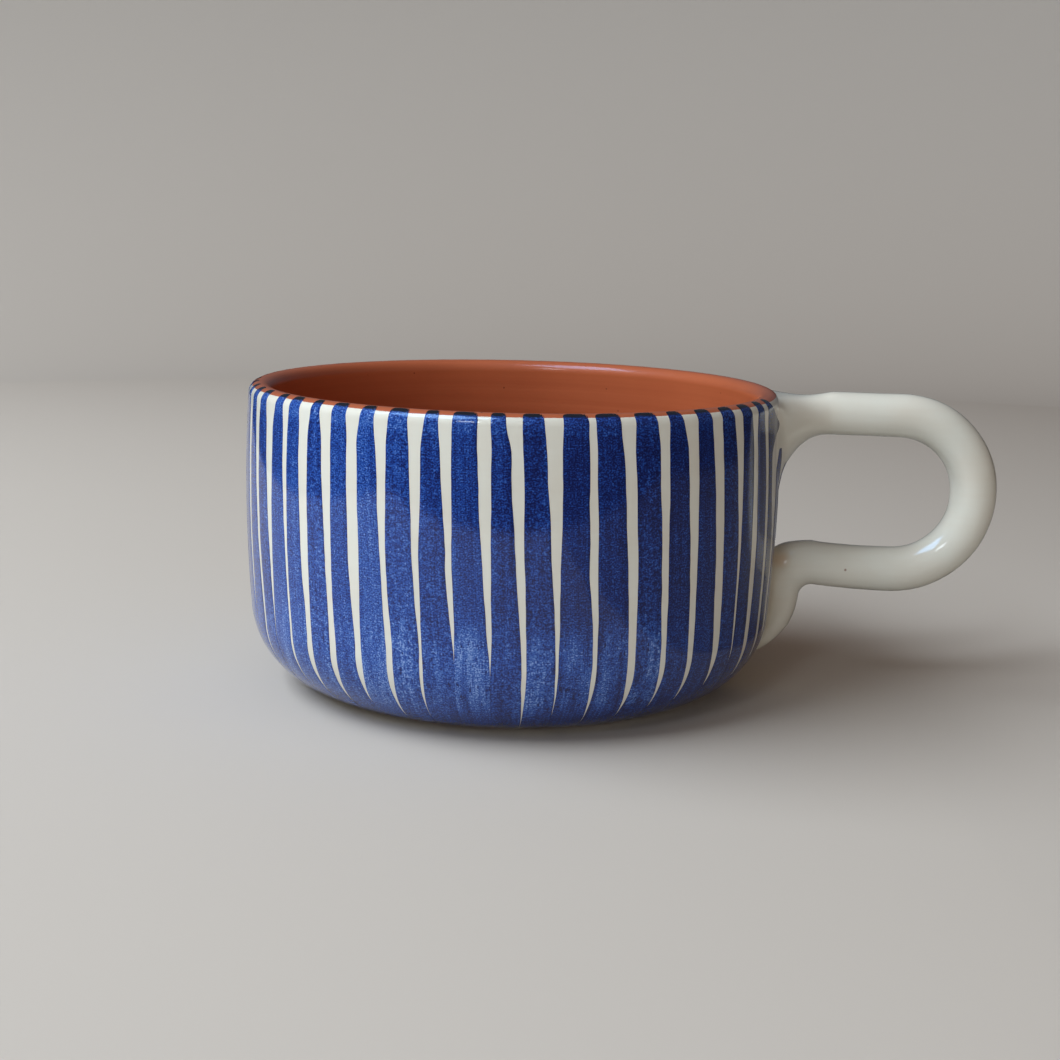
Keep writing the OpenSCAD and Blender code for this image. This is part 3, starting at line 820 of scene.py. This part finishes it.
class MUG_OT_brush_strokes(Operator):
    """Paint the cobalt strokes, one piece each"""
    bl_idname = "mug.brush_strokes"
    bl_label = "Brush strokes"

    # Rows along a stroke, close together on the rim, and places across it from edge to edge
    ROWS = np.concatenate([np.linspace(0, 0.09, 16), np.linspace(0.09, 1, 72)[1:]])
    ACROSS = (-1, -0.94, -0.8, -0.55, -0.28, 0, 0.28, 0.55, 0.8, 0.94, 1)
    LEVELS = np.arange(1.0, 73.0, 1.0) * MM
    # Length of a packed stroke's rounded ends, where its edges aren't read
    ROUNDED = 2.3 * MM
    # Levels over which its edges are smoothed
    SMOOTHED = 9
    # A stroke that ends above this stops at the handle's tail
    CUT_SHORT = 20 * MM
    # Height over which a gap closes, and share of it that each stroke covers
    CLOSING = 16 * MM
    COVERED = 0.54
    # Length of the rounded start and end of a painted stroke, and how deep its back lies in the slip
    SHORT_TIP = 1.6 * MM
    TIP = 1.5 * MM
    FOOT_TIP = 2.2 * MM
    TIP_ROUND = 0.97
    SUNK = 0.1 * MM
    # How far a slanted brush tips a stroke's start, in millimetres
    SLANT = 0.35
    # Heights in millimetres between which the edges draw in on the rim
    DRAW_FADE = (65, 72.6)
    # Share of its width that a short stroke starts with, and the length over which it widens
    SLIM_TOP = 0.45
    SLIM_FADE = 7 * MM
    # Share of the thickness at a stroke's edges and at its start, and how far along it is full
    EDGE_SHARE = 0.3
    START_SHARE = 0.15
    START_FADE = (0, 0.03)
    # Slow and quick waves of the hand, the share of the quick one, and how much steadier the left edge is
    SLOW_WAVE = 11 * MM
    QUICK_WAVE = 3.4 * MM
    QUICK_SHARE = 0.35
    LEFT_SHARE = 0.7
    # Cosine of the turn within which the handle's flare may cover the wall, and that of the flare's slope
    NEAR_HANDLE = 0.9
    FLARE_SLOPE = 0.7
    # Step in thickness from one stroke to the next, so that strokes that overlap don't share a surface
    OVERLAP_STEP = 0.015 * MM
    # Thickness of the plain coat, and what is added as painted shade on the side away from the high window,
    # as a painted reflection edge above the height where the mirrored floor stops, along the edges and
    # towards the foot, or taken off as a painted reflection of the bright room on the rim's shoulder
    PLAIN_COAT = 0.46
    SHADED_SIDE_DARKENING = 0.19
    REFLECTION_EDGE_STEP = 0.04
    EDGE_POOL = 0.14
    FOOT_DARKENING = 0.05
    SHOULDER_REFLECTION = 0.1
    # Where these come in: direction of the darkest painted shade and degrees away from it, share of the half
    # width, and heights in millimetres
    SHADED_SIDE = 325
    SHADED_SIDE_FADE = (88, 48)
    REFLECTION_EDGE_FADE = 1.2
    EDGE_FADE = (0.93, 1.0)
    FOOT_FADE = (9, 3)
    SHOULDER_REFLECTION_FADE = (68.9, 69.5)
    # Heights in millimetres between which the brush runs dry and is full again
    DRY_FADE = (32, 22)
    FULL_AGAIN = (5, 11)
    # Height in millimetres above which a stroke may leave the slip, and half the angle over which it does
    LEAVES_SLIP = 60
    BARE_FADE = 0.06
    # Step in the noise from one stroke to the next
    LANE = 5.7

    def execute(self, context):
        scene = context.scene
        self.paint, self.slip = scene.mug_brushwork, scene.mug_slip
        self.section = BowlSection(scene.mug_bowl)
        self.shape = HandleShape(scene.mug_handle, self.section)
        chance = random.Random(self.paint.seed)
        material = cobalt_under_glaze(self.paint)
        habits = [self.habit(i, chance) for i in range(len(STROKE_NODES))]
        edges = [self.edges(name) for name in STROKE_NODES]
        for i, name in enumerate(STROKE_NODES):
            left, right = self.close_gaps(i, edges, habits)
            mesh = self.paint_stroke("cobalt_stroke_%02d" % (i + 1), i, edges[i], left, right, habits[i])
            add_piece("cobalt_stroke_%02d" % (i + 1), mesh, [material], name)
        return {"FINISHED"}

    def habit(self, i, chance):
        """What the hand did on one stroke, with its painted reflection edge. The far strokes draw theirs by
        chance from the same ranges.
        """
        habit = {"slant": chance.uniform(-0.5, 0.5), "longer": chance.uniform(0.4, 1.8)}
        for key, table in NEAR_STROKES.items():
            drawn = chance.choice(table)
            habit[key] = table[i] if i < len(table) else drawn
        return habit

    def edges(self, name):
        """Both edges of a packed stroke as angles at each level, with its middle, top and lower end."""
        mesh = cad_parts[name].data
        points = np.array([v.co for v in mesh.vertices])
        ends = np.array([e.vertices for e in mesh.edges])
        middle = math.atan2(points[:, 1].mean(), points[:, 0].mean())
        turn = np.arctan2(points[:, 1], points[:, 0]) - middle
        turn = (turn + math.pi) % (2 * math.pi) - math.pi
        za, zb = points[ends[:, 0], 2], points[ends[:, 1], 2]
        top, low = points[:, 2].max(), points[:, 2].min()
        left, right, kept = [], [], []
        for z in self.LEVELS:
            if z < low + self.ROUNDED or z > top - self.ROUNDED:
                continue
            cut = (za - z) * (zb - z) < 0
            share = (z - za[cut]) / (zb[cut] - za[cut])
            at = turn[ends[cut, 0]] * (1 - share) + turn[ends[cut, 1]] * share
            left.append(at.min())
            right.append(at.max())
            kept.append(z)
        reach = min(self.SMOOTHED, len(kept) // 2 * 2 - 1)
        smooth = np.hanning(reach + 2)[1:-1]
        smooth /= smooth.sum()
        evened = []
        for side in (left, right):
            side = np.convolve(np.pad(side, reach // 2, "edge"), smooth, "valid")
            evened.append(np.interp(self.LEVELS, kept, side))
        left, right = evened
        return {"middle": middle % (2 * math.pi), "left": left, "right": right, "top": top, "low": low}

    def close_gaps(self, i, edges, habits):
        """The stroke's edges, drawn out near the foot until they meet the strokes beside it."""
        own, count = edges[i], len(edges)
        left, right = own["left"].copy(), own["right"].copy()
        for side, other, habit in ((1, edges[(i + 1) % count], habits[i]),
                                   (-1, edges[i - 1], habits[i - 1])):
            if max(own["low"], other["low"]) > self.CUT_SHORT:
                continue
            apart = (other["middle"] - own["middle"]) * side % (2 * math.pi)
            gap = apart - right + other["left"] if side > 0 else apart + left - other["right"]
            closes = habit["closes"] * MM
            share = self.COVERED * ease(closes + self.CLOSING, closes, self.LEVELS)
            if side > 0:
                right += gap * share
            else:
                left -= gap * share
        return left, right

    def paint_stroke(self, name, i, own, left, right, habit):
        section, paint = self.section, self.paint
        short = own["top"] < section.rim_c[1]
        top_z = own["top"]
        if short:
            aside = section.bowl.body_r * math.sin(own["middle"])
            half = self.shape.size.rod_r + self.shape.size.root_spread
            top_z += paint.climb * max(0, 1 - (aside / half) ** 2)
        rim_run = section.rim_r * (math.pi / 2 - paint.cap_a)
        first = section.run_at(top_z) if short else rim_run
        last = section.run_at(own["low"]) + (0 if own["low"] > self.CUT_SHORT else habit["longer"] * MM)
        tip = self.SHORT_TIP if short else self.TIP
        rings, marks = [], {key: [] for key in STROKE_MARKS}
        for v in self.ROWS:
            upper, lower = [], []
            for u in self.ACROSS:
                bend = 1 - math.sqrt(max(0, 1 - self.TIP_ROUND * u ** 4))
                start = first + tip * bend + (self.SLANT * habit["slant"] * u * MM)
                end = last - self.FOOT_TIP * bend
                run = start + (end - start) * v
                r, z, lean = section.at(run)
                a = np.interp(z, self.LEVELS, left) + self.stray(z, i, -1, r)
                b = np.interp(z, self.LEVELS, right) + self.stray(z, i, 1, r)
                if i == LEAF_STROKE:
                    b += self.leaf(z / MM)
                drawn = ease(*self.DRAW_FADE, z / MM) * MM / r
                a += habit["draw_left"] * drawn
                b -= habit["draw_right"] * drawn
                widens = ease(top_z, top_z - self.SLIM_FADE, z) if short else 1
                slim = self.SLIM_TOP + (1 - self.SLIM_TOP) * widens
                turn = own["middle"] + (a + b) / 2 + (b - a) / 2 * slim * u
                full = self.EDGE_SHARE + (1 - self.EDGE_SHARE) * math.sqrt(1 - abs(u) ** 6)
                lift = paint.thick * full + self.OVERLAP_STEP * (i % 3)
                lift *= self.START_SHARE + (1 - self.START_SHARE) * ease(*self.START_FADE, v)
                upper.append(self.place(r, z, lean, turn, lift))
                lower.append(self.place(r, z, lean, turn, -self.SUNK))
                width = (b - a) / 2 * r / MM
                self.note(marks, i, u, width, run / MM, z, turn, lean, habit)
            for key in marks:
                marks[key] += marks[key][-len(self.ACROSS):][::-1]
            rings.append(upper + lower[::-1])
        mesh = skin(name, rings, crease=35)
        for key, values in marks.items():
            mark(mesh, key, values)
        return mesh

    def leaf(self, mm):
        """How far the stroke beside the handle swells out over the flare, as an angle."""
        swell = LEAF_SWELL * math.exp(-((mm - LEAF_MIDDLE) / LEAF_TALL) ** 2)
        return math.radians(swell - LEAF_SLIM * ease(*LEAF_SLIM_FADE, mm))

    def stray(self, z, i, side, r):
        """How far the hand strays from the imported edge, as an angle. The right edge is the wavier one."""
        lane = 3 * i + side
        much = self.paint.wobble * (1.0 if side > 0 else self.LEFT_SHARE)
        away = waver(z / self.SLOW_WAVE, lane) + self.QUICK_SHARE * waver(z / self.QUICK_WAVE, lane + 0.5)
        return much * away / r

    def place(self, r, z, lean, turn, lift):
        """A point of the stroke, on the wall or on the handle's flare where that covers the wall."""
        y = r * math.sin(turn)
        if math.cos(turn) > self.NEAR_HANDLE:
            off = self.shape.stand_off(y, z)
            if off > 0:
                x = self.shape.over_wall(off, y, z)
                return x + self.FLARE_SLOPE * lift, y, z - self.FLARE_SLOPE * lift
        r, z = r + lift * math.cos(lean), z + lift * math.sin(lean)
        return r * math.cos(turn), r * math.sin(turn), z

    def note(self, marks, i, u, width, along, z, turn, lean, habit):
        """Stores how the brush was loaded at a point, with painted shade and painted reflections, for the
        cobalt to read.
        """
        mm = z / MM
        # Painted reflection: the coat is a little darker above the height where the mirrored floor stops;
        # twice is the share above that edge.
        fade = self.REFLECTION_EDGE_FADE
        wave = fade * waver(u * 1.3, i + 0.3)
        twice = ease(habit["mirror_edge"] - fade + wave, habit["mirror_edge"] + fade + wave, mm)
        # Painted shade: the coat darkens towards the side of the mug away from the high window.
        away = abs((math.degrees(turn) - self.SHADED_SIDE + 180) % 360 - 180)
        load = self.PLAIN_COAT + self.SHADED_SIDE_DARKENING * ease(*self.SHADED_SIDE_FADE, away) + habit["shift"]
        load += self.REFLECTION_EDGE_STEP * twice + self.EDGE_POOL * ease(*self.EDGE_FADE, abs(u))
        # Darker towards the foot.
        load += self.FOOT_DARKENING * ease(*self.FOOT_FADE, mm)
        # Painted reflection: lighter on the rim's shoulder, where the glaze mirrors the bright room above.
        load -= self.SHOULDER_REFLECTION * ease(*self.SHOULDER_REFLECTION_FADE, mm)
        wash = habit["dry"] * ease(*self.DRY_FADE, mm) * ease(*self.FULL_AGAIN, mm)
        bare = 0.0
        if mm > self.LEAVES_SLIP:
            edge = self.section.slip_edge(self.slip, turn)
            bare = ease(edge - self.BARE_FADE, edge + self.BARE_FADE, lean)
        for key, value in zip(STROKE_MARKS, (u * width, along, i * self.LANE, load, wash, bare)):
            marks[key].append(value)


def aim(place, target):
    """Turn that points a lamp at place towards target."""
    return (Vector(target) - Vector(place)).to_track_quat("-Z", "Y").to_euler()


class MUG_OT_stage(Operator):
    """Set the floor, the lights and the camera"""
    bl_idname = "mug.stage"
    bl_label = "Stage"

    # Distance of the lamps from the mug's middle, and its height
    LAMP_AWAY = 1.2
    MIDDLE = 0.03
    # Share of the room's light from below the table's level, and how far above it the light is full
    ROOM_BELOW = 0.15
    ROOM_FULL = 0.1

    def execute(self, context):
        scene, stage = context.scene, context.scene.mug_stage
        self.sweep(scene, stage)
        self.lamp(scene, "high window", 192, 48, (1.3, 0.7), stage.high_power, stage.window_light,
                  mirrored=False)
        self.lamp(scene, "low window", 245, 8, (0.7, 0.2), stage.low_power, stage.window_light,
                  mirrored=False)
        self.lamp(scene, "warm fill", 300, 5, (0.6, 0.18), stage.fill_power, stage.warm_light,
                  mirrored=False)
        self.lamp(scene, "small lamp", 250, 32, (0.2, 0.2), stage.lamp_power, stage.window_light)
        self.lamp(scene, "sky", 216, 62, (0.7, 0.6), stage.sky_power, stage.sky_light, lights=False)
        self.room(scene, stage)
        scene.view_settings.view_transform = "Standard"
        self.camera(scene, stage)
        return {"FINISHED"}

    def sweep(self, scene, stage):
        """A round of pale paper that rises in a wide sweep, and two boards that the glaze mirrors instead.
        Past the boards a glaze sees only the dim room, as it does on a small table."""
        flat, bend, top, turns = 0.72, 0.35, 1.4, 96
        floor = around([(0.002, 0), (0.2, 0), (flat, 0)], turns)
        rise = around(arc((flat, bend), bend, -math.pi / 2, 0, 24) + [(flat + bend, top)], turns)
        for name, rings in (("paper_floor", floor), ("paper_rise", rise)):
            faces = [(k * turns + i, k * turns + (i + 1) % turns, (k + 1) * turns + (i + 1) % turns,
                      (k + 1) * turns + i) for k in range(len(rings) - 1) for i in range(turns)]
            if rings is floor:
                faces.append(tuple(range(turns)))
            paper = self.paper(scene, stage.floor, name, [p for ring in rings for p in ring], faces)
            paper.visible_glossy = False
            paper.visible_diffuse = paper.visible_shadow = rings is floor
        front, back, above = -0.32, 0.7, 0.2 * MM
        # The right board is darker paper: painted shade for the floor in the mug's shadow, as the glaze
        # mirrors it.
        for name, left, right, tint in (("paper_board", -0.37, 0.09, stage.floor),
                                        ("mirrored_shade_board", 0.09, 0.6, stage.mirrored_shade_floor)):
            corners = [(left, front, above), (right, front, above), (right, back, above), (left, back, above)]
            board = self.paper(scene, tint, name, corners, [(0, 1, 2, 3)])
            board.visible_camera = board.visible_diffuse = board.visible_shadow = False

    def paper(self, scene, tint, name, points, faces):
        mesh = bpy.data.meshes.new(name)
        mesh.from_pydata(points, [], faces)
        mesh.shade_smooth()
        mesh.materials.append(pale_paper(tint))
        paper = bpy.data.objects.new(name, mesh)
        scene.collection.objects.link(paper)
        return paper

    def room(self, scene, stage):
        """Soft light from the room above the table's level, and little from below it."""
        world = bpy.data.worlds.new("plain room")
        world.use_nodes = True
        tree = world.node_tree
        tree.nodes.clear()
        up = add_node(tree, "SeparateXYZ", {0: add_node(tree, "TexCoord").outputs["Generated"]}).outputs[2]
        strength = add_node(tree, "MapRange", {
            0: up, 1: 0.0, 2: self.ROOM_FULL, 3: self.ROOM_BELOW * stage.room_strength,
            4: stage.room_strength})
        glossy = add_node(tree, "LightPath").outputs["Is Glossy Ray"]
        tint = mix_tints(tree, glossy, stage.room, stage.room_mirrored)
        light = add_node(tree, "Background", {"Color": tint, "Strength": strength.outputs[0]})
        add_node(tree, "OutputWorld", {"Surface": light.outputs[0]})
        scene.world = world

    def lamp(self, scene, name, azimuth, elevation, size, power, tint, mirrored=True, lights=True):
        """A soft light of this width and height, placed round the mug by its direction in degrees.
        One that isn't mirrored only lights the mug, and one that doesn't light it is only mirrored."""
        turn, rise, away = math.radians(azimuth), math.radians(elevation), self.LAMP_AWAY
        place = (away * math.cos(rise) * math.cos(turn), away * math.cos(rise) * math.sin(turn),
                 away * math.sin(rise) + self.MIDDLE)
        data = bpy.data.lights.new(name, "AREA")
        data.shape = "RECTANGLE"
        data.size, data.size_y = size
        data.energy = power
        data.color = tint[:3]
        lamp = bpy.data.objects.new(name, data)
        lamp.location = place
        lamp.rotation_euler = aim(place, (0, 0, self.MIDDLE))
        lamp.visible_camera = False
        lamp.visible_glossy = mirrored
        lamp.visible_diffuse = lights
        scene.collection.objects.link(lamp)

    def camera(self, scene, stage):
        """The camera at the photograph's viewing angle."""
        yaw, pitch, roll = stage.camera_yaw, stage.camera_pitch, stage.camera_roll
        ahead = Vector((math.sin(yaw) * math.cos(pitch), math.cos(yaw) * math.cos(pitch), -math.sin(pitch)))
        aside = Vector((math.cos(yaw), -math.sin(yaw), 0))
        above = aside.cross(ahead)
        right = math.cos(roll) * aside + math.sin(roll) * above
        up = math.cos(roll) * above - math.sin(roll) * aside
        data = bpy.data.cameras.new("camera")
        data.sensor_width = 36
        data.lens = stage.lens
        data.clip_start = 0.01
        camera = bpy.data.objects.new("camera", data)
        turn = Matrix((right, up, -ahead)).transposed().to_4x4()
        camera.matrix_world = Matrix.Translation((0, -stage.camera_back, stage.camera_up)) @ turn
        scene.collection.objects.link(camera)
        scene.camera = camera


OPERATORS = (MUG_OT_thrown_bowl, MUG_OT_slip_coat, MUG_OT_pulled_handle, MUG_OT_brush_strokes, MUG_OT_stage)
GROUPS = {"mug_bowl": MugBowl, "mug_slip": MugSlip, "mug_handle": MugHandle, "mug_brushwork": MugBrushwork,
          "mug_stage": MugStage}


class MUG_PT_sidebar(Panel):
    """Soup mug, piece by piece"""
    bl_idname = "MUG_PT_sidebar"
    bl_label = "Soup mug"
    bl_space_type = "VIEW_3D"
    bl_region_type = "UI"
    bl_category = "Soup mug"

    def draw(self, context):
        for operator in OPERATORS:
            self.layout.operator(operator.bl_idname)
        for name, group in GROUPS.items():
            box = self.layout.box()
            for key in group.__annotations__:
                box.prop(getattr(context.scene, name), key)


CLASSES = (*GROUPS.values(), *OPERATORS, MUG_PT_sidebar)


def register():
    for cls in CLASSES:
        bpy.utils.register_class(cls)
    for name, group in GROUPS.items():
        setattr(bpy.types.Scene, name, PointerProperty(type=group))


def unregister():
    for name in GROUPS:
        delattr(bpy.types.Scene, name)
    for cls in reversed(CLASSES):
        bpy.utils.unregister_class(cls)


def main():
    register()
    bpy.ops.mug.thrown_bowl()
    bpy.ops.mug.slip_coat()
    bpy.ops.mug.pulled_handle()
    bpy.ops.mug.brush_strokes()
    bpy.ops.mug.stage()


if __name__ == "__main__":
    main()
